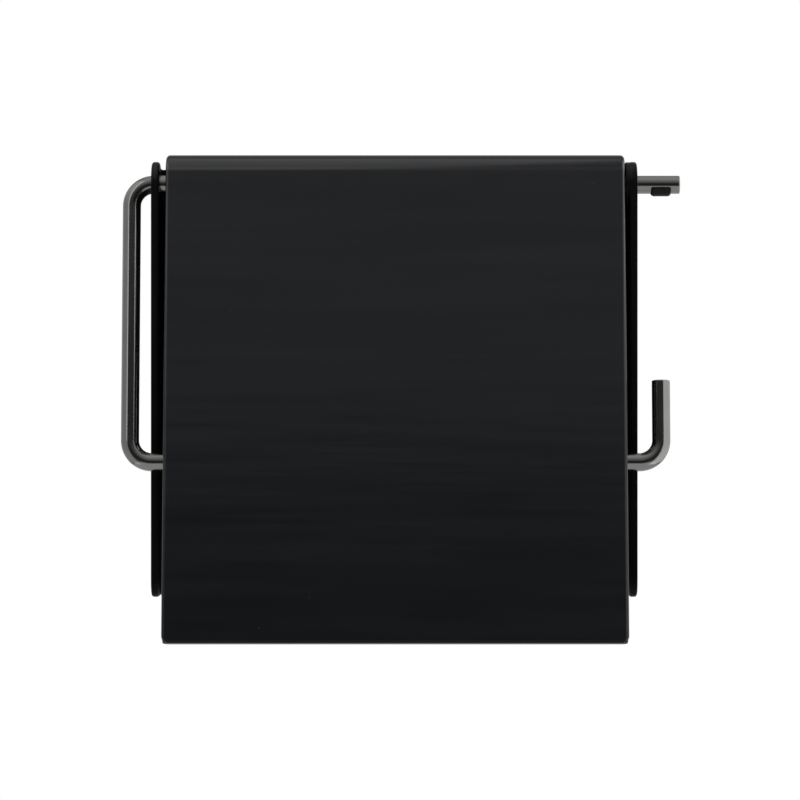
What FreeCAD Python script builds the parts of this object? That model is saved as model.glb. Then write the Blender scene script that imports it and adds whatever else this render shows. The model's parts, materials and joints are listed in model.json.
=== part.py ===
import FreeCAD, Part
import math
import os
import Sketcher

# Covered roll holder for a wall: a moulded back plate with two side flanges, one bent chromed wire that is
# hinge pin, swinging frame and roll bar in one, and a moulded cover that hangs on the same hinge line.
#
# Frame: the origin is midway between the two wall screws, on the wall. +X is to the right, +Y goes into the
# wall, so the front faces -Y, and +Z is up. Millimetres.

SIZES = {
    # the wire
    "wire_radius": 2.65,
    "bend_radius": 6.4,
    "bar_drop": 82.0,
    "left_reach": 77.1,
    "hook_reach": 77.9,
    "free_end_reach": 83.9,
    "hook_rise": 24.0,
    "wire_chamfer": 0.4,
    # the hinge line, from the wall and from the wall screws
    "hinge_reach": 12.5,
    "hinge_height": 50.0,
    "running_gap": 0.05,
    "rest_gap": 0.3,
    # the back plate
    "plate_width": 142.4,
    "plate_thickness": 2.5,
    "plate_rise": 5.0,
    "plate_drop": 121.1,
    "flange_thickness": 2.35,
    "ear_radius": 6.7,
    "flange_corner": 5.0,
    "plate_edge_round": 0.8,
    "hub_radius": 6.6,
    "hub_height": 1.0,
    "hub_round": 0.3,
    "screw_spacing": 60.0,
    "wall_hole_diameter": 4.5,
    "wall_countersink_diameter": 8.4,
    "wall_boss_radius": 7.0,
    "wall_boss_height": 1.5,
    # the stop let into the underside of the free end
    "stop_place": 78.3,
    "stop_length": 6.0,
    "stop_top": 1.5,
    "stop_radius": 3.4,
    "stop_round": 1.0,
    # the cover
    "cover_width": 134.4,
    "cover_shift": 0.3,
    "cover_front": 7.5,
    "cover_rise": 8.4,
    "cover_drop": 135.7,
    "cover_lean": 2.0,
    "cover_skin": 2.5,
    "cover_rim": 2.0,
    "rim_back": 3.0,
    "lip_back": 2.4,
    "lip_bottom": 3.2,
    "cover_bend": 6.0,
    "cover_edge_round": 1.2,
    "cover_corner_round": 2.1,
    # the two clips that hang the cover on the wire
    "clip_place": 46.0,
    "clip_width": 18.0,
    "clip_radius": 4.7,
    "clip_foot_drop": 18.0,
    "clip_foot_thickness": 2.0,
    "clip_edge_round": 0.5,
    "clip_screw_offset": 5.2,
    "clip_screw_drop": 12.0,
    "clip_hole_radius": 1.2,
    "boss_radius": 2.75,
    # the clips' self-tapping screws
    "screw_radius": 1.0,
    "screw_reach": 4.4,
    "screw_tip": 0.8,
    "screw_head_radius": 2.1,
    "screw_head_height": 1.4,
    "screw_head_round": 0.6,
    "recess_length": 2.4,
    "recess_width": 0.6,
    "recess_depth": 0.8,
    # the soft bumpers between the cover and the roll bar
    "bumper_place": 40.0,
    "bumper_radius": 4.0,
    "bumper_round": 0.8,
}

# The frame leans out from the hinge line, because the roll bar rests on the flanges' edges. The cover stands
# out further by cover_lean, in degrees, on its bumpers.
FLANGE_DEPTH = "(Sizes.hinge_reach + Sizes.ear_radius)"
FRAME_LEAN = "asin((Sizes.ear_radius + Sizes.rest_gap + Sizes.wire_radius) / Sizes.bar_drop)"
COVER_LEAN = f"{FRAME_LEAN} + Sizes.cover_lean * 1 deg"
# The sign that each side has in X.
SIDES = {"left": -1, "right": 1}

document = FreeCAD.newDocument("roll_holder")
sheet = document.addObject("Spreadsheet::Sheet", "Sizes")
for row, (alias, size) in enumerate(SIZES.items(), start=1):
    sheet.set(f"A{row}", alias)
    sheet.set(f"B{row}", str(size))
    sheet.setAlias(f"B{row}", alias)
document.recompute()


def value(text):
    """A sheet expression's value, in millimetres."""
    found = sheet.evalExpression(text)
    return float(getattr(found, "Value", found))


def new_body(name):
    body = document.addObject("PartDesign::Body", name)
    body.Label = name
    return body


def hang_on_hinge(body, lean, sideways="0"):
    """Puts a body's own origin on the hinge line and leans it out from the wall."""
    outwards = FreeCAD.Rotation(FreeCAD.Vector(-1, 0, 0), value(lean))
    body.Placement = FreeCAD.Placement(FreeCAD.Vector(), outwards)
    body.setExpression("Placement.Base.x", sideways)
    body.setExpression("Placement.Base.y", "-Sizes.hinge_reach")
    body.setExpression("Placement.Base.z", "Sizes.hinge_height")
    body.setExpression("Placement.Rotation.Angle", lean)


def origin_plane(body, role):
    return next(item for item in body.Origin.OriginFeatures if item.Role == role)


def new_sketch(body, name, role, offset="0"):
    """A sketch on one of the body's origin planes, or lifted off it along the plane's normal."""
    sketch = body.newObject("Sketcher::SketchObject", name)
    sketch.AttachmentSupport = [(origin_plane(body, role), "")]
    sketch.MapMode = "FlatFace"
    sketch.setExpression("AttachmentOffset.Base.z", offset)
    return sketch


def dimension(sketch, kind, geometry, point, text):
    """Holds a point's distance from the sketch's origin, or a radius, to a sheet expression."""
    if kind == "Radius":
        number = sketch.addConstraint(Sketcher.Constraint(kind, geometry, value(text)))
    else:
        number = sketch.addConstraint(Sketcher.Constraint(kind, -1, 1, geometry, point, value(text)))
    sketch.setExpression(f"Constraints[{number}]", text)


def add_outline(sketch, corners):
    """A closed outline of straight lines, each corner held by two dimensions."""
    points = [FreeCAD.Vector(value(across), value(up), 0) for across, up in corners]
    ends = points[1:] + points[:1]
    lines = [sketch.addGeometry(Part.LineSegment(start, end)) for start, end in zip(points, ends)]
    for line, following in zip(lines, lines[1:] + lines[:1]):
        sketch.addConstraint(Sketcher.Constraint("Coincident", line, 2, following, 1))
    for line, (across, up) in zip(lines, corners):
        dimension(sketch, "DistanceX", line, 1, across)
        dimension(sketch, "DistanceY", line, 1, up)


def add_rectangle(sketch, across, up):
    (left, right), (low, high) = across, up
    add_outline(sketch, [(left, low), (right, low), (right, high), (left, high)])


def add_circle(sketch, across, up, radius):
    centre = FreeCAD.Vector(value(across), value(up), 0)
    circle = sketch.addGeometry(Part.Circle(centre, FreeCAD.Vector(0, 0, 1), value(radius)))
    dimension(sketch, "DistanceX", circle, 3, across)
    dimension(sketch, "DistanceY", circle, 3, up)
    dimension(sketch, "Radius", circle, 0, radius)


def add_pad(body, name, sketch, length, both_ways=False):
    pad = body.newObject("PartDesign::Pad", name)
    pad.Profile = sketch
    pad.SideType = "Symmetric" if both_ways else "One side"
    pad.setExpression("Length", length)
    return pad


def add_pocket(body, name, sketch, length, both_ways=False, reversed_way=False):
    """A pocket, which has to take some material away."""
    document.recompute()
    before = body.Shape.Volume
    pocket = body.newObject("PartDesign::Pocket", name)
    pocket.Profile = sketch
    pocket.SideType = "Symmetric" if both_ways else "One side"
    pocket.Reversed = reversed_way
    pocket.setExpression("Length", length)
    document.recompute()
    if body.Shape.Volume >= before:
        raise RuntimeError(f"{name} cut nothing from {body.Label}")
    return pocket


def round_edges(body, name, size, chosen, kind="PartDesign::Fillet"):
    """Rounds or chamfers every edge of the body's last shape that chosen() picks by its box."""
    document.recompute()
    tip = body.Tip
    edges = tip.Shape.Edges
    names = [f"Edge{number}" for number, edge in enumerate(edges, start=1) if chosen(edge.BoundBox)]
    feature = body.newObject(kind, name)
    feature.Base = (tip, names)
    feature.setExpression("Radius" if kind.endswith("Fillet") else "Size", size)
    document.recompute()


def near(first, second, slack=0.01):
    return abs(first - second) < slack


def add_mirror(body, name, originals):
    """Repeats features on the other side of the middle plane."""
    mirror = body.newObject("PartDesign::Mirrored", name)
    mirror.Originals = originals
    mirror.MirrorPlane = (origin_plane(body, "YZ_Plane"), [""])
    body.Tip = mirror
    return mirror


def make_back_plate():
    """The plate against the wall, its two side flanges and the ears that carry the wire."""
    body = new_body("back_plate")
    top = "Sizes.hinge_height + Sizes.plate_rise"
    bottom = "Sizes.hinge_height - Sizes.plate_drop"
    half = "Sizes.plate_width / 2"

    face = new_sketch(body, "PlateFace", "XZ_Plane")
    add_rectangle(face, (f"-{half}", half), (bottom, top))
    add_pad(body, "Plate", face, "Sizes.plate_thickness")

    side = new_sketch(body, "FlangeSide", "YZ_Plane", f"-{half}")
    add_outline(side, [
        ("0", bottom),
        ("0", top),
        ("-Sizes.hinge_reach", top),
        ("-Sizes.hinge_reach", "Sizes.hinge_height"),
        (f"-{FLANGE_DEPTH}", "Sizes.hinge_height"),
        (f"-{FLANGE_DEPTH}", bottom),
    ])
    flange = add_pad(body, "Flange", side, "Sizes.flange_thickness")
    round_ear = new_sketch(body, "EarSide", "YZ_Plane", f"-{half}")
    add_circle(round_ear, "-Sizes.hinge_reach", "Sizes.hinge_height", "Sizes.ear_radius")
    ear = add_pad(body, "Ear", round_ear, "Sizes.flange_thickness")
    boss_face = new_sketch(body, "BossFace", "XZ_Plane")
    add_circle(boss_face, "-Sizes.screw_spacing / 2", "0", "Sizes.wall_boss_radius")
    boss = add_pad(body, "Boss", boss_face, "Sizes.plate_thickness + Sizes.wall_boss_height")
    add_mirror(body, "BothSides", [flange, ear, boss])

    depth = value(FLANGE_DEPTH)
    low = value(bottom)
    round_edges(
        body, "FlangeCorners", "Sizes.flange_corner",
        lambda box: near(box.YMin, -depth) and near(box.YMax, -depth) and near(box.ZMax, low),
    )
    faces = [value(half), value(f"{half} - Sizes.flange_thickness")]
    round_edges(
        body, "FlangeEdges", "Sizes.plate_edge_round",
        lambda box: any(near(max(abs(box.XMin), abs(box.XMax)), face) for face in faces)
        and near(box.XLength, 0) and near(box.YMin, -depth),
    )

    hub_foot = f"{half} - Sizes.flange_thickness - Sizes.hub_height"
    hub_side = new_sketch(body, "HubSide", "YZ_Plane", hub_foot)
    add_circle(hub_side, "-Sizes.hinge_reach", "Sizes.hinge_height", "Sizes.hub_radius")
    add_pad(body, "RightHub", hub_side, "Sizes.hub_height + Sizes.flange_thickness / 2")

    bore = new_sketch(body, "BoreSide", "YZ_Plane")
    add_circle(bore, "-Sizes.hinge_reach", "Sizes.hinge_height", "Sizes.wire_radius + Sizes.running_gap")
    add_pocket(body, "EarBores", bore, "Sizes.plate_width", both_ways=True)

    screws = new_sketch(body, "ScrewPlaces", "XZ_Plane", "Sizes.plate_thickness + Sizes.wall_boss_height")
    for side_sign in SIDES.values():
        add_circle(screws, f"{side_sign} * Sizes.screw_spacing / 2", "0", "Sizes.wall_hole_diameter / 2")
    document.recompute()
    holes = body.newObject("PartDesign::Hole", "WallScrewHoles")
    holes.Profile = screws
    holes.DepthType = "ThroughAll"
    holes.HoleCutType = "Countersink"
    holes.HoleCutCountersinkAngle = 90
    holes.setExpression("Diameter", "Sizes.wall_hole_diameter")
    holes.setExpression("HoleCutDiameter", "Sizes.wall_countersink_diameter")

    bore_size = 2 * value("Sizes.wire_radius + Sizes.running_gap")
    round_edges(
        body, "BoreMouths", "Sizes.plate_edge_round",
        lambda box: near(max(abs(box.XMin), abs(box.XMax)), faces[0]) and near(box.ZLength, bore_size),
    )
    hub_face = faces[1] - value("Sizes.hub_height")
    hub_size = 2 * value("Sizes.hub_radius")
    round_edges(
        body, "HubEdge", "Sizes.hub_round",
        lambda box: near(box.XMin, hub_face) and near(box.XMax, hub_face) and near(box.ZLength, hub_size),
    )
    return body


def make_wire_frame():
    """One wire: free end, hinge bar through both ears, left arm, roll bar and the upturned hook."""
    body = new_body("wire_frame")
    hang_on_hinge(body, FRAME_LEAN)
    path = new_sketch(body, "WirePath", "XZ_Plane")
    bend = value("Sizes.bend_radius")
    left = -value("Sizes.left_reach")
    hook = value("Sizes.hook_reach")
    low = -value("Sizes.bar_drop")

    def run(start, end):
        return path.addGeometry(Part.LineSegment(FreeCAD.Vector(*start, 0), FreeCAD.Vector(*end, 0)))

    def quarter(centre, quadrant):
        """A quarter turn that starts at this many right angles from the sketch's own X."""
        circle = Part.Circle(FreeCAD.Vector(*centre, 0), FreeCAD.Vector(0, 0, 1), bend)
        start = quadrant * math.pi / 2
        return path.addGeometry(Part.ArcOfCircle(circle, start, start + math.pi / 2))

    hinge_bar = run((value("Sizes.free_end_reach"), 0), (left + bend, 0))
    upper_bend = quarter((left + bend, -bend), 1)
    arm = run((left, -bend), (left, low + bend))
    lower_bend = quarter((left + bend, low + bend), 2)
    roll_bar = run((left + bend, low), (hook - bend, low))
    hook_bend = quarter((hook - bend, low + bend), 3)
    hook_run = run((hook, low + bend), (hook, low + value("Sizes.hook_rise")))

    chain = [hinge_bar, upper_bend, arm, lower_bend, roll_bar, hook_bend, hook_run]
    for piece, following in zip(chain, chain[1:]):
        path.addConstraint(Sketcher.Constraint("Tangent", piece, 2, following, 1))
    for level in (hinge_bar, roll_bar):
        path.addConstraint(Sketcher.Constraint("Horizontal", level))
    for upright in (arm, hook_run):
        path.addConstraint(Sketcher.Constraint("Vertical", upright))
    dimension(path, "DistanceX", hinge_bar, 1, "Sizes.free_end_reach")
    dimension(path, "DistanceY", hinge_bar, 1, "0")
    dimension(path, "DistanceX", arm, 1, "-Sizes.left_reach")
    dimension(path, "DistanceY", roll_bar, 1, "-Sizes.bar_drop")
    dimension(path, "DistanceX", hook_run, 1, "Sizes.hook_reach")
    dimension(path, "DistanceY", hook_run, 2, "Sizes.hook_rise - Sizes.bar_drop")
    for turn in (upper_bend, lower_bend, hook_bend):
        dimension(path, "Radius", turn, 0, "Sizes.bend_radius")

    section = new_sketch(body, "WireSection", "YZ_Plane", "Sizes.free_end_reach")
    add_circle(section, "0", "0", "Sizes.wire_radius")
    wire = body.newObject("PartDesign::AdditivePipe", "Wire")
    wire.Profile = section
    wire.Spine = path

    notch = new_sketch(body, "StopNotch", "XZ_Plane")
    near_end, far_end = (f"Sizes.stop_place {sign} Sizes.stop_length / 2" for sign in "-+")
    add_rectangle(notch, (near_end, far_end), ("-2 * Sizes.wire_radius", "-Sizes.stop_top"))
    add_pocket(body, "Notch", notch, "4 * Sizes.wire_radius", both_ways=True)

    free_end = value("Sizes.free_end_reach")
    hook_tip = value("Sizes.hook_rise - Sizes.bar_drop")
    round_edges(
        body, "EndChamfers", "Sizes.wire_chamfer",
        lambda box: near(box.XMin, free_end) or (near(box.ZMin, hook_tip) and near(box.ZMax, hook_tip)),
        kind="PartDesign::Chamfer",
    )
    return body


def make_bar_stop():
    """The stop pressed into the free end's notch: it stands proud all round the bar's underside."""
    body = new_body("bar_stop")
    hang_on_hinge(body, FRAME_LEAN)
    section = new_sketch(body, "StopSection", "YZ_Plane", "Sizes.stop_place")
    radius = value("Sizes.stop_radius")
    start = -math.asin(value("Sizes.stop_top") / radius)
    circle = Part.Circle(FreeCAD.Vector(), FreeCAD.Vector(0, 0, 1), radius)
    under = section.addGeometry(Part.ArcOfCircle(circle, -math.pi - start, start))
    half_width = radius * math.cos(start)
    flat_top = section.addGeometry(Part.LineSegment(
        FreeCAD.Vector(half_width, -value("Sizes.stop_top"), 0),
        FreeCAD.Vector(-half_width, -value("Sizes.stop_top"), 0),
    ))
    section.addConstraint(Sketcher.Constraint("Coincident", under, 2, flat_top, 1))
    section.addConstraint(Sketcher.Constraint("Coincident", flat_top, 2, under, 1))
    section.addConstraint(Sketcher.Constraint("Horizontal", flat_top))
    section.addConstraint(Sketcher.Constraint("Coincident", under, 3, -1, 1))
    dimension(section, "Radius", under, 0, "Sizes.stop_radius")
    dimension(section, "DistanceY", flat_top, 1, "-Sizes.stop_top")
    add_pad(body, "Stop", section, "Sizes.stop_length", both_ways=True)
    top = -value("Sizes.stop_top")
    round_edges(
        body, "StopEdges", "Sizes.stop_round",
        lambda box: near(box.XLength, 0) and box.ZMin < top - 1,
    )
    return body


def make_cover_panel():
    """The cover: a moulded skin with a rim behind its edges and a lip bent back over the wire."""
    body = new_body("cover_panel")
    hang_on_hinge(body, COVER_LEAN, "Sizes.cover_shift")
    front = "-Sizes.cover_front"
    foot = "-Sizes.cover_drop"
    half = "Sizes.cover_width / 2"

    side = new_sketch(body, "CoverSide", "YZ_Plane")
    add_outline(side, [
        (front, foot),
        ("-Sizes.rim_back", foot),
        ("-Sizes.rim_back", "Sizes.lip_bottom"),
        ("Sizes.lip_back", "Sizes.lip_bottom"),
        ("Sizes.lip_back", "Sizes.cover_rise"),
        (front, "Sizes.cover_rise"),
    ])
    add_pad(body, "Cover", side, "Sizes.cover_width", both_ways=True)
    face = -value("Sizes.cover_front")
    rise = value("Sizes.cover_rise")
    low = value(foot)
    edge = value(half)
    round_edges(
        body, "TopBend", "Sizes.cover_bend",
        lambda box: near(box.YMin, face) and near(box.YMax, face) and near(box.ZMin, rise),
    )
    round_edges(
        body, "LowerCorners", "Sizes.cover_corner_round",
        lambda box: near(box.ZMax, low) and near(box.XLength, 0),
    )
    round_edges(
        body, "FrontEdges", "Sizes.cover_edge_round",
        lambda box: near(box.YMin, face) and near(box.YLength, 0) and near(box.XLength, 0),
    )

    hollow = new_sketch(body, "HollowSide", "YZ_Plane")
    inside = "(Sizes.cover_skin - Sizes.cover_front)"
    past_lip = "2 * Sizes.lip_back"
    add_outline(hollow, [
        (inside, "Sizes.cover_rim - Sizes.cover_drop"),
        ("0", "Sizes.cover_rim - Sizes.cover_drop"),
        ("0", "0"),
        (past_lip, "0"),
        (past_lip, "Sizes.cover_rise - Sizes.cover_skin"),
        (inside, "Sizes.cover_rise - Sizes.cover_skin"),
    ])
    add_pocket(body, "Hollow", hollow, "Sizes.cover_width - 2 * Sizes.cover_rim", both_ways=True)
    inner = value(inside)
    ceiling = value("Sizes.cover_rise - Sizes.cover_skin")
    round_edges(
        body, "InnerBend", "Sizes.cover_bend - Sizes.cover_skin",
        lambda box: near(box.YMin, inner) and near(box.YMax, inner) and near(box.ZMin, ceiling),
    )

    clip_seat = "Sizes.clip_foot_thickness"
    posts = new_sketch(body, "PostPlaces", "XZ_Plane", clip_seat)
    pilots = new_sketch(body, "PilotPlaces", "XZ_Plane", clip_seat)
    for place in screw_places():
        add_circle(posts, place, "-Sizes.clip_screw_drop", "Sizes.boss_radius")
        add_circle(pilots, place, "-Sizes.clip_screw_drop", "Sizes.screw_radius")
    add_pad(body, "Posts", posts, "Sizes.cover_front - Sizes.cover_skin / 2 - Sizes.clip_foot_thickness")
    add_pocket(body, "PilotHoles", pilots, "Sizes.screw_reach", reversed_way=True)
    return body


def screw_places():
    """Where the four clip screws stand across the cover, from its middle."""
    return [
        f"{side} * Sizes.clip_place {sign} Sizes.clip_screw_offset"
        for side in SIDES.values() for sign in "-+"
    ]


def make_hinge_clip(name, side):
    """A clip: a bored knuckle on the wire and a foot screwed to the cover's posts."""
    body = new_body(name)
    hang_on_hinge(body, COVER_LEAN, "Sizes.cover_shift")
    place = f"{side} * Sizes.clip_place"
    knuckle = new_sketch(body, "KnuckleSide", "YZ_Plane", place)
    add_circle(knuckle, "0", "0", "Sizes.clip_radius")
    add_pad(body, "Knuckle", knuckle, "Sizes.clip_width", both_ways=True)
    foot = new_sketch(body, "FootSide", "YZ_Plane", place)
    add_rectangle(foot, ("-Sizes.clip_foot_thickness", "0"), ("-Sizes.clip_foot_drop", "0"))
    add_pad(body, "Foot", foot, "Sizes.clip_width", both_ways=True)
    bore = new_sketch(body, "BoreSide", "YZ_Plane", place)
    add_circle(bore, "0", "0", "Sizes.wire_radius + Sizes.running_gap")
    add_pocket(body, "Bore", bore, "2 * Sizes.clip_width", both_ways=True)
    holes = new_sketch(body, "HolePlaces", "XZ_Plane")
    for sign in "-+":
        hole_place = f"{place} {sign} Sizes.clip_screw_offset"
        add_circle(holes, hole_place, "-Sizes.clip_screw_drop", "Sizes.clip_hole_radius")
    add_pocket(body, "ScrewHoles", holes, "2 * Sizes.clip_foot_thickness", both_ways=True)
    low = -value("Sizes.clip_foot_drop")
    round_edges(
        body, "FootEdges", "Sizes.clip_edge_round",
        lambda box: near(box.ZMax, low) and near(box.XLength, 0),
    )
    return body


def make_clip_screw(name, place):
    """A self-tapping screw through a clip's foot, its head towards the wall."""
    body = new_body(name)
    hang_on_hinge(body, COVER_LEAN, "Sizes.cover_shift")
    shape = new_sketch(body, "HalfSection", "YZ_Plane", place)
    axis = "-Sizes.clip_screw_drop"
    tip = "-(Sizes.clip_foot_thickness + Sizes.screw_reach)"
    add_outline(shape, [
        (tip, axis),
        (f"{tip} + Sizes.screw_tip", f"{axis} + Sizes.screw_radius"),
        ("0", f"{axis} + Sizes.screw_radius"),
        ("0", f"{axis} + Sizes.screw_head_radius"),
        ("Sizes.screw_head_height", f"{axis} + Sizes.screw_head_radius"),
        ("Sizes.screw_head_height", axis),
    ])
    turned = body.newObject("PartDesign::Revolution", "Turned")
    turned.Profile = shape
    turned.ReferenceAxis = (shape, ["Edge6"])
    turned.Angle = 360
    head_top = value("Sizes.screw_head_height")
    round_edges(
        body, "HeadEdge", "Sizes.screw_head_round",
        lambda box: near(box.YMin, head_top) and box.XLength > value("Sizes.screw_head_radius"),
    )
    arms = {"Level": ("recess_length", "recess_width"), "Upright": ("recess_width", "recess_length")}
    for way, (across, up) in arms.items():
        slot = new_sketch(body, f"{way}Slot", "XZ_Plane", "-Sizes.screw_head_height")
        wide = [f"{place} {sign} Sizes.{across} / 2" for sign in "-+"]
        tall = [f"{axis} {sign} Sizes.{up} / 2" for sign in "-+"]
        add_rectangle(slot, wide, tall)
        add_pocket(body, f"{way}Recess", slot, "Sizes.recess_depth", reversed_way=True)
    return body


def make_bumper(name, side):
    """A soft button on the cover's inside that lands on the roll bar."""
    body = new_body(name)
    hang_on_hinge(body, COVER_LEAN, "Sizes.cover_shift")
    land = "(Sizes.wire_radius + Sizes.rest_gap - Sizes.bar_drop * sin(Sizes.cover_lean * 1 deg))"
    face = new_sketch(body, "ButtonFace", "XZ_Plane", land)
    add_circle(face, f"{side} * Sizes.bumper_place", "-Sizes.bar_drop", "Sizes.bumper_radius")
    add_pad(body, "Button", face, f"Sizes.cover_front - Sizes.cover_skin - {land}")
    touch = -value(land)
    round_edges(
        body, "ButtonEdge", "Sizes.bumper_round",
        lambda box: near(box.YMax, touch) and near(box.YLength, 0),
    )
    return body


def make_all():
    pieces = [make_back_plate(), make_wire_frame(), make_bar_stop(), make_cover_panel()]
    places = screw_places()
    for number, (word, side) in enumerate(SIDES.items()):
        pieces.append(make_hinge_clip(f"{word}_hinge_clip", side))
        pieces.append(make_bumper(f"{word}_cover_bumper", side))
        for which, place in zip(("first", "second"), places[2 * number:2 * number + 2]):
            pieces.append(make_clip_screw(f"{word}_clip_{which}_screw", place))
    return pieces


def write_parts(pieces):
    """Checks every object and every piece, then writes each piece to its own file."""
    document.recompute()
    failed = [item.Name for item in document.Objects if {"Invalid", "Error"} & set(item.State)]
    if failed:
        raise RuntimeError(f"failed objects: {failed}")
    os.makedirs("parts", exist_ok=True)
    for piece in pieces:
        shape = piece.Shape
        if shape.isNull() or not shape.isValid() or len(shape.Solids) != 1:
            raise RuntimeError(f"{piece.Label} is not one sound solid")
        shape.exportStep(f"parts/{piece.Label}.step")
        box = shape.BoundBox
        print(f"{piece.Label:28s} {shape.Volume:10.1f} mm3  {box}")


write_parts(make_all())
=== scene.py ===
import json
import math

import bpy
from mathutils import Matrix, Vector


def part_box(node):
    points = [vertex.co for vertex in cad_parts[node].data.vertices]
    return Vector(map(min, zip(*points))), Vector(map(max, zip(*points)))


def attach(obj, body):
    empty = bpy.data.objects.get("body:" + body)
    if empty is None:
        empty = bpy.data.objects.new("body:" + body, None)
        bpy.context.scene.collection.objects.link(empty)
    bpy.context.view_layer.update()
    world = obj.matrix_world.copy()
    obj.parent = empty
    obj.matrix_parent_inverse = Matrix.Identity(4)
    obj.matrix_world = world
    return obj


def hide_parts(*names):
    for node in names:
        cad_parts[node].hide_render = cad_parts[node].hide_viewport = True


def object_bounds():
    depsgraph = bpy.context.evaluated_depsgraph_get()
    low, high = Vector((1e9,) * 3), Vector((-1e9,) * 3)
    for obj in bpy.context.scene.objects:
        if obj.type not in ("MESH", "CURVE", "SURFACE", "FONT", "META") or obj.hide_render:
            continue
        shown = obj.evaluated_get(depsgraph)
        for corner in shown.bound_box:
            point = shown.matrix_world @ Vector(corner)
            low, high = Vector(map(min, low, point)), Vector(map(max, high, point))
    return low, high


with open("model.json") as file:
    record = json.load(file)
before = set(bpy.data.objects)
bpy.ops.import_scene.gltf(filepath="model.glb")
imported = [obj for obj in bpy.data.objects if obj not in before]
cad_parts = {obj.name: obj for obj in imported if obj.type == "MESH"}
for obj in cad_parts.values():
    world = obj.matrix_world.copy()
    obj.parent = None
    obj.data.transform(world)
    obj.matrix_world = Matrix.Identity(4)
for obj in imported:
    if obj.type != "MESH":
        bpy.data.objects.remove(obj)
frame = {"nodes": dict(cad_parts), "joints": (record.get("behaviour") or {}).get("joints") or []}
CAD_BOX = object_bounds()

# The looks of a covered roll holder for a wall. Metres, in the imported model's own frame: +X to the right,
# +Y into the wall, +Z up. The wire and the cover lean out from the hinge line, the cover a little further
# than the wire.

HINGE = Vector(frame["joints"][0]["pos_m"])
ACROSS = Vector((1, 0, 0))

# the wire: its bends follow the wire's middle, and END_ROUND is at both cut ends
WIRE_RADIUS = 0.00265
BEND_RADIUS = 0.0064
END_ROUND = 0.0004
END_STEPS = 6
WIRE_SIDES = 64

# the cover: RIM_BACK and LIP_BOTTOM say where the rim ends, out from the hinge line and up from it
COVER_SKIN = 0.0025
COVER_RIM = 0.002
COVER_BEND = 0.006
RIM_BACK = 0.003
LIP_BOTTOM = 0.0032
EDGE_ROUND = 0.0012
CORNER_ROUND = 0.0021
RIM_ROUND = 0.0003
ROUND_SEGMENTS = 6
POST_RADIUS = 0.00275
POST_SIDES = 32
CLIP_FOOT = 0.002

# how many straight steps draw each bend of the wire and the cover
BEND_STEPS = 24

# the view, and the floor below the holder
CAMERA_DISTANCE = 1.1
CAMERA_ASIDE = 0.00168
CAMERA_BELOW_HINGE = 0.0633
VIEW_WIDTH = 0.2353
SENSOR_WIDTH = 36.0
NEAREST_SEEN = 0.05
FURTHEST_SEEN = 20
FLOOR_DROP = 1.3
FLOOR_RADIUS = 5.5
FLOOR_SIDES = 128

# the light's two tints
COOL_LIGHT = (0.95, 0.98, 1)
WARM_LIGHT = (1, 0.99, 0.95)


# ---------------------------------------------------------------- places read from the frame

def reach(node, direction):
    """How far a CAD node reaches from the hinge line in one direction."""
    return max((vertex.co - HINGE).dot(direction) for vertex in frame["nodes"][node].data.vertices)


def facing(node):
    """The way that a CAD node's largest face looks, towards the front."""
    normal = max(frame["nodes"][node].data.polygons, key=lambda face: face.area).normal
    return normal if normal.y < 0 else -normal


WIRE_LOW, WIRE_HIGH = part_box("wire_frame")
BAR = Vector((0, WIRE_LOW.y + WIRE_RADIUS - HINGE.y, WIRE_LOW.z + WIRE_RADIUS - HINGE.z))
WIRE_DOWN = BAR.normalized()
WIRE_OUT = WIRE_DOWN.cross(ACROSS)
COVER_OUT = facing("cover_panel")
COVER_DOWN = ACROSS.cross(COVER_OUT)


def leaning(outwards, across, out, up):
    """A point of a leaning piece: across from the middle, out from the hinge line and up from it."""
    return Vector((0, HINGE.y, HINGE.z)) + ACROSS * across + outwards * out - ACROSS.cross(outwards) * up


# ---------------------------------------------------------------- node helpers

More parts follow.
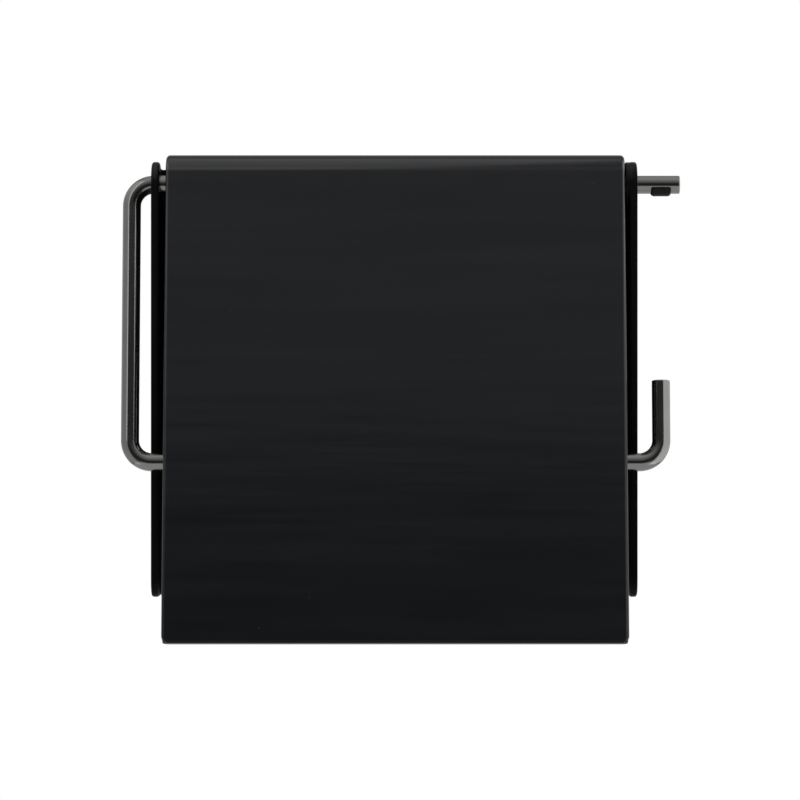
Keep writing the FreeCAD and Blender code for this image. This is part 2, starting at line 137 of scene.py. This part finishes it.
class Nodes:
    """A node tree that is built by naming each node's type, settings and inputs in one call."""

    def __init__(self, owner):
        owner.use_nodes = True
        self.tree = owner.node_tree
        self.tree.nodes.clear()

    def add(self, kind, inputs=None, **settings):
        node = self.tree.nodes.new(kind)
        for name, setting in settings.items():
            setattr(node, name, setting)
        for name, given in (inputs or {}).items():
            if isinstance(given, bpy.types.NodeSocket):
                self.tree.links.new(given, node.inputs[name])
            else:
                node.inputs[name].default_value = given
        return node

    def math(self, operation, first, second=None):
        inputs = {0: first} if second is None else {0: first, 1: second}
        return self.add("ShaderNodeMath", inputs, operation=operation).outputs[0]

    def spread(self, value, low, high, to_low, to_high, smooth=False):
        """A value between low and high, taken to lie between to_low and to_high."""
        inputs = {"Value": value, "From Min": low, "From Max": high, "To Min": to_low, "To Max": to_high}
        kind = "SMOOTHSTEP" if smooth else "LINEAR"
        return self.add("ShaderNodeMapRange", inputs, interpolation_type=kind).outputs["Result"]

    def curve(self, value, low, high, stops):
        """A value read off a line through (place, brightness) stops."""
        ramp = self.add("ShaderNodeValToRGB", {"Fac": self.spread(value, low, high, 0, 1)})
        elements = ramp.color_ramp.elements
        while len(elements) < len(stops):
            elements.new(0.5)
        for element, (place, level) in zip(elements, stops):
            element.position = (place - low) / (high - low)
            element.color = (level, level, level, 1)
        return ramp.outputs["Color"]

    def noise(self, coordinates, scale, detail=2.0, roughness=0.5, stretch=(1, 1, 1)):
        """Noise that repeats about scale times a metre, and less often along an axis with a small stretch."""
        mapped = self.add("ShaderNodeMapping", {"Vector": coordinates, "Scale": stretch})
        look = {"Scale": scale, "Detail": detail, "Roughness": roughness}
        return self.add("ShaderNodeTexNoise", {"Vector": mapped.outputs["Vector"], **look}).outputs["Fac"]

    def dots(self, coordinates, scale, core, rim):
        """Scattered round dots: 1 in the core, fading to 0 at the rim, both as parts of their spacing."""
        spots = self.add("ShaderNodeTexVoronoi", {"Vector": coordinates, "Scale": scale}).outputs["Distance"]
        return self.spread(spots, core, rim, 1, 0, smooth=True)

    def tint(self, factor, first, second):
        """A colour between two, each given as numbers or as another node's output."""
        mixed = self.add("ShaderNodeMix", data_type="RGBA")
        self.tree.links.new(factor, mixed.inputs["Factor"])
        for socket, colour in (("A", first), ("B", second)):
            slot = [given for given in mixed.inputs if given.name == socket and given.type == "RGBA"][0]
            if isinstance(colour, bpy.types.NodeSocket):
                self.tree.links.new(colour, slot)
            else:
                slot.default_value = (*colour, 1)
        return [made for made in mixed.outputs if made.type == "RGBA"][0]

    def bump(self, height, distance, normal=None):
        """A normal for relief that is distance deep, in metres, laid over another one if normal is given."""
        inputs = {"Height": height, "Distance": distance}
        if normal is not None:
            inputs["Normal"] = normal
        return self.add("ShaderNodeBump", inputs).outputs["Normal"]

    def surface(self, **inputs):
        """Ends the tree in one Principled shader; an underscore stands for a space in a socket's name."""
        named = {name.replace("_", " "): given for name, given in inputs.items()}
        shader = self.add("ShaderNodeBsdfPrincipled", named)
        self.add("ShaderNodeOutputMaterial", {"Surface": shader.outputs["BSDF"]})


def new_material(name):
    """A material, its node tree and the object's own coordinates in it, in metres."""
    material = bpy.data.materials.new(name)
    nodes = Nodes(material)
    return material, nodes, nodes.add("ShaderNodeTexCoord").outputs["Object"]


# ---------------------------------------------------------------- materials

def gloss_black():
    """High gloss black moulding: faint flow across it, wipe marks, and a few specks of dust."""
    material, nodes, place = new_material("gloss_black")
    flow = nodes.spread(nodes.noise(place, 210, detail=3, stretch=(0.06, 1, 1)), 0.3, 0.7, 0, 1)
    smear = nodes.noise(place, 60, detail=4, roughness=0.6, stretch=(0.35, 1, 1))
    grain = nodes.noise(place, 2500, detail=1)
    dust = nodes.dots(place, 90, 0.012, 0.022)
    colour = nodes.tint(flow, (0.0080, 0.0086, 0.0104), (0.0120, 0.0128, 0.0152))
    colour = nodes.tint(nodes.math("MULTIPLY", dust, 0.25), colour, (0.10, 0.10, 0.11))
    rough = nodes.math("ADD", nodes.spread(smear, 0.35, 0.7, 0.13, 0.20), nodes.math("MULTIPLY", dust, 0.3))
    normal = nodes.bump(grain, 0.000004, normal=nodes.bump(flow, 0.000018))
    nodes.surface(Base_Color=colour, Roughness=rough, IOR=1.62, Normal=normal)
    return material


def chrome():
    """Bright chrome over drawn wire: fine lines along it, light haze and small pits."""
    material, nodes, place = new_material("bright_chrome")
    unwrapped = nodes.add("ShaderNodeUVMap", uv_map="Wire").outputs["UV"]
    lines = nodes.noise(unwrapped, 2600, detail=3, stretch=(1, 0.012, 1))
    haze = nodes.noise(place, 140, detail=3)
    pits = nodes.dots(place, 700, 0.02, 0.06)
    colour = nodes.tint(haze, (0.49, 0.485, 0.475), (0.57, 0.565, 0.555))
    colour = nodes.tint(nodes.math("MULTIPLY", pits, 0.5), colour, (0.2, 0.19, 0.18))
    rough = nodes.math("ADD", nodes.spread(haze, 0.35, 0.7, 0.08, 0.16), nodes.math("MULTIPLY", lines, 0.05))
    normal = nodes.bump(haze, 0.00002, normal=nodes.bump(lines, 0.0000035))
    nodes.surface(Base_Color=colour, Roughness=rough, Metallic=1.0, Normal=normal)
    return material


def moulded(name, dark, light, rough, sheen, grain_size, grain_depth, scuff):
    """Fine grained moulding, slightly uneven in colour and sheen, with pale scuffs where it is rubbed."""
    material, nodes, place = new_material(name)
    patch = nodes.noise(place, 90, detail=4, roughness=0.6)
    grain = nodes.noise(place, 1 / grain_size, detail=2, roughness=0.6)
    rubbed = nodes.noise(place, 300, detail=5, roughness=0.75, stretch=(1, 1, 0.2))
    scuffs = nodes.math("MULTIPLY", nodes.spread(rubbed, 0.62, 0.74, 0, 1, smooth=True), scuff)
    colour = nodes.tint(patch, (dark,) * 3, (light,) * 3)
    colour = nodes.tint(nodes.math("MULTIPLY", grain, 0.25), colour, (2 * light,) * 3)
    colour = nodes.tint(scuffs, colour, (4 * light,) * 3)
    roughness = nodes.spread(patch, 0.3, 0.7, rough[0], rough[1])
    normal = nodes.bump(grain, grain_depth)
    nodes.surface(Base_Color=colour, Roughness=roughness, Specular_IOR_Level=sheen, Normal=normal)
    return material


def plated_steel():
    """Zinc plated steel: turning lines, a bluish and yellowish bloom."""
    material, nodes, place = new_material("zinc_plate")
    bloom = nodes.noise(place, 900, detail=3)
    lines = nodes.noise(place, 5200, detail=2, roughness=0.7)
    colour = nodes.tint(bloom, (0.60, 0.61, 0.63), (0.68, 0.66, 0.60))
    rough = nodes.spread(lines, 0.3, 0.7, 0.24, 0.42)
    nodes.surface(Base_Color=colour, Roughness=rough, Metallic=1.0, Normal=nodes.bump(lines, 0.00001))
    return material


# ---------------------------------------------------------------- meshes

def new_piece(name, points, faces, material):
    mesh = bpy.data.meshes.new(name)
    mesh.from_pydata(points, [], faces)
    piece = bpy.data.objects.new(name, mesh)
    bpy.context.scene.collection.objects.link(piece)
    return finish_surface(piece, material)


def finish_surface(piece, material):
    """Shades a piece smooth, in one material."""
    piece.data.polygons.foreach_set("use_smooth", [True] * len(piece.data.polygons))
    if piece.material_slots:
        for place in piece.material_slots:
            place.material = material
    else:
        piece.data.materials.append(material)
    return piece


def even_normals(piece):
    """Keeps large faces flat in smooth shading, so that only the rounds between them blend."""
    modifier = piece.modifiers.new("EvenNormals", "WEIGHTED_NORMAL")
    modifier.keep_sharp = True
    modifier.weight = 100


def arc(centre, radius, start, end, steps):
    """Points round part of a circle, angles in degrees."""
    angles = [math.radians(start + (end - start) * step / steps) for step in range(steps + 1)]
    return [(centre[0] + radius * math.cos(angle), centre[1] + radius * math.sin(angle)) for angle in angles]


def wire_rings():
    """Rings along the wire as (centre, heading, radius): free end, left arm, roll bar and hook."""
    left = WIRE_LOW.x + WIRE_RADIUS
    bend, drop = BEND_RADIUS, BAR.length
    middle = HINGE.z - drop / 2
    lowest = [vertex.co for vertex in frame["nodes"]["wire_frame"].data.vertices if vertex.co.z < middle]
    hook = max(co.x for co in lowest) - WIRE_RADIUS
    tip = min((co - HINGE).dot(WIRE_DOWN) for co in lowest if co.x > hook)
    route = [(WIRE_HIGH.x, 0.0)]
    route += arc((left + bend, -bend), bend, 90, 180, BEND_STEPS)
    route += arc((left + bend, bend - drop), bend, 180, 270, BEND_STEPS)
    route += arc((hook - bend, bend - drop), bend, 270, 360, BEND_STEPS)
    route += [(hook, -tip)]
    route = [Vector(place) for place in route]

    rounded = [
        (END_ROUND * (1 - math.cos(turn)), WIRE_RADIUS - END_ROUND * (1 - math.sin(turn)))
        for turn in (math.radians(90 * step / END_STEPS) for step in range(END_STEPS + 1))
    ]
    rings = []
    for place, centre in enumerate(route):
        heading = (route[min(place + 1, len(route) - 1)] - route[max(place - 1, 0)]).normalized()
        if place == 0:
            rings += [(centre + heading * inset, heading, radius) for inset, radius in rounded]
        elif place == len(route) - 1:
            rings += [(centre - heading * inset, heading, radius) for inset, radius in reversed(rounded)]
        else:
            rings.append((centre, heading, WIRE_RADIUS))
    return rings


def make_wire(material):
    """The bent wire as a swept round bar with rounded-off ends, mapped round it and along it in metres."""
    rings = wire_rings()
    points, along, travelled = [], [], 0.0
    for place, (centre, heading, radius) in enumerate(rings):
        travelled += (centre - rings[max(place - 1, 0)][0]).length
        along.append(travelled)
        sideways = Vector((-heading.y, heading.x))
        for spoke in range(WIRE_SIDES):
            turn = 2 * math.pi * spoke / WIRE_SIDES
            flat = centre + sideways * radius * math.cos(turn)
            points.append(leaning(WIRE_OUT, flat.x, radius * math.sin(turn), flat.y))
    faces, places = [], []
    girth = 2 * math.pi * WIRE_RADIUS
    for ring in range(len(rings) - 1):
        for spoke in range(WIRE_SIDES):
            corners = ((ring, spoke), (ring + 1, spoke), (ring + 1, spoke + 1), (ring, spoke + 1))
            faces.append([step * WIRE_SIDES + turn % WIRE_SIDES for step, turn in corners])
            places += [(turn / WIRE_SIDES * girth, along[step]) for step, turn in corners]
    last = len(rings) - 1
    for ring, order in ((0, range(WIRE_SIDES)), (last, reversed(range(WIRE_SIDES)))):
        order = list(order)
        faces.append([ring * WIRE_SIDES + turn for turn in order])
        places += [(turn / WIRE_SIDES * girth, along[ring]) for turn in order]
    wire = new_piece("bent_wire", points, faces, material)
    unwrapped = wire.data.uv_layers.new(name="Wire")
    unwrapped.data.foreach_set("uv", [number for place in places for number in place])
    even_normals(wire)
    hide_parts("wire_frame")
    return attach(wire, "wire")


def cover_shell(left, right, front, foot, back, rise):
    """The cover's points, its faces, and how far each of its edges is rounded."""
    centre = (front - COVER_BEND, rise - COVER_BEND)
    profiles = {
        "outer": [(front, foot), *arc(centre, COVER_BEND, 0, 90, BEND_STEPS), (back, rise)],
        "inner": [
            (front - COVER_SKIN, foot + COVER_RIM),
            *arc(centre, COVER_BEND - COVER_SKIN, 0, 90, BEND_STEPS),
            (back, rise - COVER_SKIN),
        ],
        "rim": [(RIM_BACK, foot), (RIM_BACK, LIP_BOTTOM), (back, LIP_BOTTOM)],
        "lining": [(RIM_BACK, foot + COVER_RIM), (RIM_BACK, LIP_BOTTOM), (back, LIP_BOTTOM)],
    }
    edges = {
        "outer": (left, right), "rim": (left, right),
        "inner": (left + COVER_RIM, right - COVER_RIM), "lining": (left + COVER_RIM, right - COVER_RIM),
    }
    points, lines = [], {}
    for name, profile in profiles.items():
        for side in (0, 1):
            lines[name, side] = list(range(len(points), len(points) + len(profile)))
            points += [leaning(COVER_OUT, edges[name][side], out, up) for out, up in profile]

    faces = []

    def add(corners, flipped=False):
        faces.append(list(reversed(corners)) if flipped else list(corners))

    def band(first, second, flipped=False):
        for here, there, after, before in zip(first, second, second[1:], first[1:]):
            add((here, there, after, before), flipped)

    band(lines["outer", 0], lines["outer", 1])
    band(lines["inner", 0], lines["inner", 1], flipped=True)
    for side, flipped in ((0, False), (1, True)):
        add(lines["outer", side] + lines["rim", side][::-1], flipped)
        add(lines["inner", side] + lines["lining", side][::-1], not flipped)
        band(lines["rim", side], lines["lining", side], not flipped)
        add([lines[name, side][-1] for name in ("outer", "inner", "lining", "rim")], not flipped)
    for first, second in (("outer", "rim"), ("rim", "lining"), ("lining", "inner")):
        add((lines[first, 0][0], lines[first, 1][0], lines[second, 1][0], lines[second, 0][0]), flipped=True)
    add((lines["outer", 0][-1], lines["outer", 1][-1], lines["inner", 1][-1], lines["inner", 0][-1]))

    rounds = {}
    for side in (0, 1):
        outline = lines["outer", side]
        for pair in zip(outline, outline[1:]):
            rounds[frozenset(pair)] = EDGE_ROUND
        rounds[frozenset((outline[0], lines["rim", side][0]))] = CORNER_ROUND
        for name in ("rim", "inner", "lining"):
            for pair in zip(lines[name, side], lines[name, side][1:]):
                rounds[frozenset(pair)] = RIM_ROUND
        rounds[frozenset((lines["inner", side][0], lines["lining", side][0]))] = RIM_ROUND
    rounds[frozenset((lines["outer", 0][0], lines["outer", 1][0]))] = EDGE_ROUND
    for name, end in (("rim", 0), ("lining", 0), ("inner", 0), ("outer", -1), ("inner", -1)):
        rounds[frozenset((lines[name, 0][end], lines[name, 1][end]))] = RIM_ROUND
    return points, faces, rounds


def add_posts(points, faces, front):
    """The round posts behind the skin that take the clips' screws."""
    turns = list(range(POST_SIDES))
    for screw in [name for name in frame["nodes"] if name.endswith("screw")]:
        low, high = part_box(screw)
        up = (reach(screw, -COVER_DOWN) - reach(screw, COVER_DOWN)) / 2
        outline = arc(((low.x + high.x) / 2, up), POST_RADIUS, 0, 360, POST_SIDES)[:-1]
        deep = [len(points) + turn for turn in turns]
        seat = [corner + POST_SIDES for corner in deep]
        for out in (front - COVER_SKIN / 2, CLIP_FOOT):
            points += [leaning(COVER_OUT, across, out, height) for across, height in outline]
        for here, after in zip(turns, turns[1:] + turns[:1]):
            faces.append((seat[here], seat[after], deep[after], deep[here]))
        faces += [deep, seat[::-1]]


def make_cover(material):
    """The cover: a skin bent back over the wire at the top, a low rim behind its edges, and four posts."""
    low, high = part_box("cover_panel")
    front, rise = reach("cover_panel", COVER_OUT), reach("cover_panel", -COVER_DOWN)
    foot, back = -reach("cover_panel", COVER_DOWN), -reach("cover_panel", -COVER_OUT)
    points, faces, rounds = cover_shell(low.x, high.x, front, foot, back, rise)
    add_posts(points, faces, front)
    cover = new_piece("gloss_cover", points, faces, material)
    weights = cover.data.attributes.new("bevel_weight_edge", "FLOAT", "EDGE")
    for edge in cover.data.edges:
        weights.data[edge.index].value = rounds.get(frozenset(edge.vertices), 0.0) / CORNER_ROUND
    rounding = cover.modifiers.new("Rounds", "BEVEL")
    rounding.limit_method = "WEIGHT"
    rounding.offset_type = "OFFSET"
    rounding.width = CORNER_ROUND
    rounding.segments = ROUND_SEGMENTS
    even_normals(cover)
    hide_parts("cover_panel")
    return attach(cover, "cover")


# ---------------------------------------------------------------- light, floor, camera

def make_world():
    """Soft studio light, paler with height in front and pale behind; the camera itself sees plain white."""
    world = bpy.data.worlds.new("soft_studio")
    bpy.context.scene.world = world
    nodes = Nodes(world)
    direction = nodes.add("ShaderNodeTexCoord").outputs["Generated"]
    split = nodes.add("ShaderNodeSeparateXYZ", {"Vector": direction}).outputs
    height = nodes.math("MULTIPLY", nodes.math("ARCSINE", split["Z"]), 180 / math.pi)
    in_front = nodes.curve(height, -90, 90, [
        (-90, 0.07), (-25, 0.07), (-5, 0.02), (9, 0.015), (17, 0.045),
        (25, 0.09), (39, 0.17), (53, 0.22), (70, 0.32), (90, 0.34),
    ])
    behind = nodes.spread(split["Y"], 0.3, 0.8, 0, 0.32, smooth=True)
    light = nodes.math("MAXIMUM", in_front, behind)
    lit = nodes.add("ShaderNodeBackground", {"Color": light, "Strength": 1.0})
    white = nodes.add("ShaderNodeBackground", {"Color": (1, 1, 1, 1), "Strength": 1.0})
    seen = nodes.add("ShaderNodeLightPath").outputs["Is Camera Ray"]
    chosen = nodes.add("ShaderNodeMixShader", {0: seen, 1: lit.outputs[0], 2: white.outputs[0]})
    nodes.add("ShaderNodeOutputWorld", {"Surface": chosen.outputs[0]})


def make_panel(name, place, size, turn, brightness, seen_by, colour=(1, 1, 1)):
    """A soft rectangular light that only the pieces in seen_by see. turn is its Euler angles in degrees, and
    brightness how bright it looks in a mirror, where 1 is white."""
    lamp = bpy.data.lights.new(name, "AREA")
    lamp.color = colour
    lamp.shape = "RECTANGLE"
    lamp.size, lamp.size_y = size
    lamp.energy = brightness * math.pi * size[0] * size[1]
    holder = bpy.data.objects.new(name, lamp)
    holder.location = place
    holder.rotation_euler = [math.radians(angle) for angle in turn]
    holder.visible_camera = False
    bpy.context.scene.collection.objects.link(holder)
    group = bpy.data.collections.new(f"{name}_pieces")
    for piece in seen_by:
        group.objects.link(piece)
    holder.light_linking.receiver_collection = group


def make_floor():
    """A plain pale disc far below the holder, so that it can be seen from below too."""
    turns = [math.tau * step / FLOOR_SIDES for step in range(FLOOR_SIDES)]
    rim = [(FLOOR_RADIUS * math.cos(turn), FLOOR_RADIUS * math.sin(turn), 0) for turn in turns]
    material = bpy.data.materials.new("pale_floor")
    nodes = Nodes(material)
    glow = {"Emission_Color": (1, 1, 1, 1), "Emission_Strength": 0.7}
    nodes.surface(Base_Color=(0.82, 0.82, 0.82, 1), Roughness=0.9, **glow)
    floor = new_piece("floor", rim, [list(range(FLOOR_SIDES))], material)
    floor.location.z = CAD_BOX[0].z - FLOOR_DROP
    floor.visible_glossy = False


def make_camera():
    """Looks straight at the wall from the front; VIEW_WIDTH is what it sees across at the hinge line."""
    camera = bpy.data.cameras.new("camera")
    camera.sensor_width = SENSOR_WIDTH
    camera.lens = SENSOR_WIDTH * CAMERA_DISTANCE / VIEW_WIDTH
    camera.clip_start, camera.clip_end = NEAREST_SEEN, FURTHEST_SEEN
    camera.dof.use_dof = False
    holder = bpy.data.objects.new("camera", camera)
    holder.location = HINGE + Vector((CAMERA_ASIDE, -CAMERA_DISTANCE, -CAMERA_BELOW_HINGE))
    holder.rotation_euler = (math.pi / 2, 0, 0)
    bpy.context.scene.collection.objects.link(holder)
    bpy.context.scene.camera = holder


# ---------------------------------------------------------------- the whole scene

wire = make_wire(chrome())
cover = make_cover(gloss_black())
finishes = {
    "back_plate": moulded(
        "matt_black", dark=0.0045, light=0.0075, rough=(0.3, 0.42), sheen=0.3,
        grain_size=0.0003, grain_depth=0.00002, scuff=0.3,
    ),
    "nylon": moulded(
        "black_nylon", dark=0.010, light=0.016, rough=(0.32, 0.5), sheen=0.5,
        grain_size=0.0006, grain_depth=0.00001, scuff=0.2,
    ),
    "rubber": moulded(
        "soft_rubber", dark=0.020, light=0.030, rough=(0.75, 0.9), sheen=0.3,
        grain_size=0.0002, grain_depth=0.00002, scuff=0.5,
    ),
    "steel": plated_steel(),
}
kinds = {"screw": "steel", "bumper": "rubber", "clip": "nylon", "stop": "nylon", "plate": "back_plate"}
for node, piece in frame["nodes"].items():
    if node in ("wire_frame", "cover_panel"):
        continue
    kind = next(kind for word, kind in kinds.items() if word in node)
    even_normals(finish_surface(piece, finishes[kind]))

# Beside and below the holder the panels stand where the wire mirrors them as the lines along it. The others
# give the cover's face, edges and bend their sheen.
make_world()
back = frame["nodes"]["back_plate"]
hidden = [piece for node, piece in frame["nodes"].items() if "clip" in node or "bumper" in node]
make_panel("left_wall", (-0.3125, 0.03, 0.10), (0.568, 0.8), (90, 0, -72.0), 0.22, [wire, cover, *hidden])
make_panel("left_strip", (-0.236, -0.215, 0.27), (0.055, 0.5), (90, 0, -68.0), 0.46, [wire, cover])
make_panel("right_wall", (0.31, 0.01, 0.10), (0.607, 0.8), (90, 0, 72.7), 0.53, [wire, cover, *hidden])
make_panel("ground", (0, -0.35, -0.30), (0.62, 1.3), (180, 0, 0), 0.265, [wire])
make_panel("front_panel", (0, -1.15, 0.71), (1.6, 0.8), (60, 0, 0), 0.16, [cover, *hidden], COOL_LIGHT)
make_panel("upper_panel", (-0.359, -0.163, 0.355), (0.8, 0.6), (0, 0, -11.9), 0.42, [cover, back], WARM_LIGHT)
make_panel("right_panel", (0.90, 0.08, 0.46), (1.0, 0.6), (60, 0, 95), 1.4, [cover])
make_panel("left_panel", (-0.90, -0.10, 0.46), (1.0, 0.6), (60, 0, -80), 0.5, [cover])
make_floor()
make_camera()
bpy.context.scene.view_settings.view_transform = "Standard"
bpy.context.scene.view_settings.look = "None"
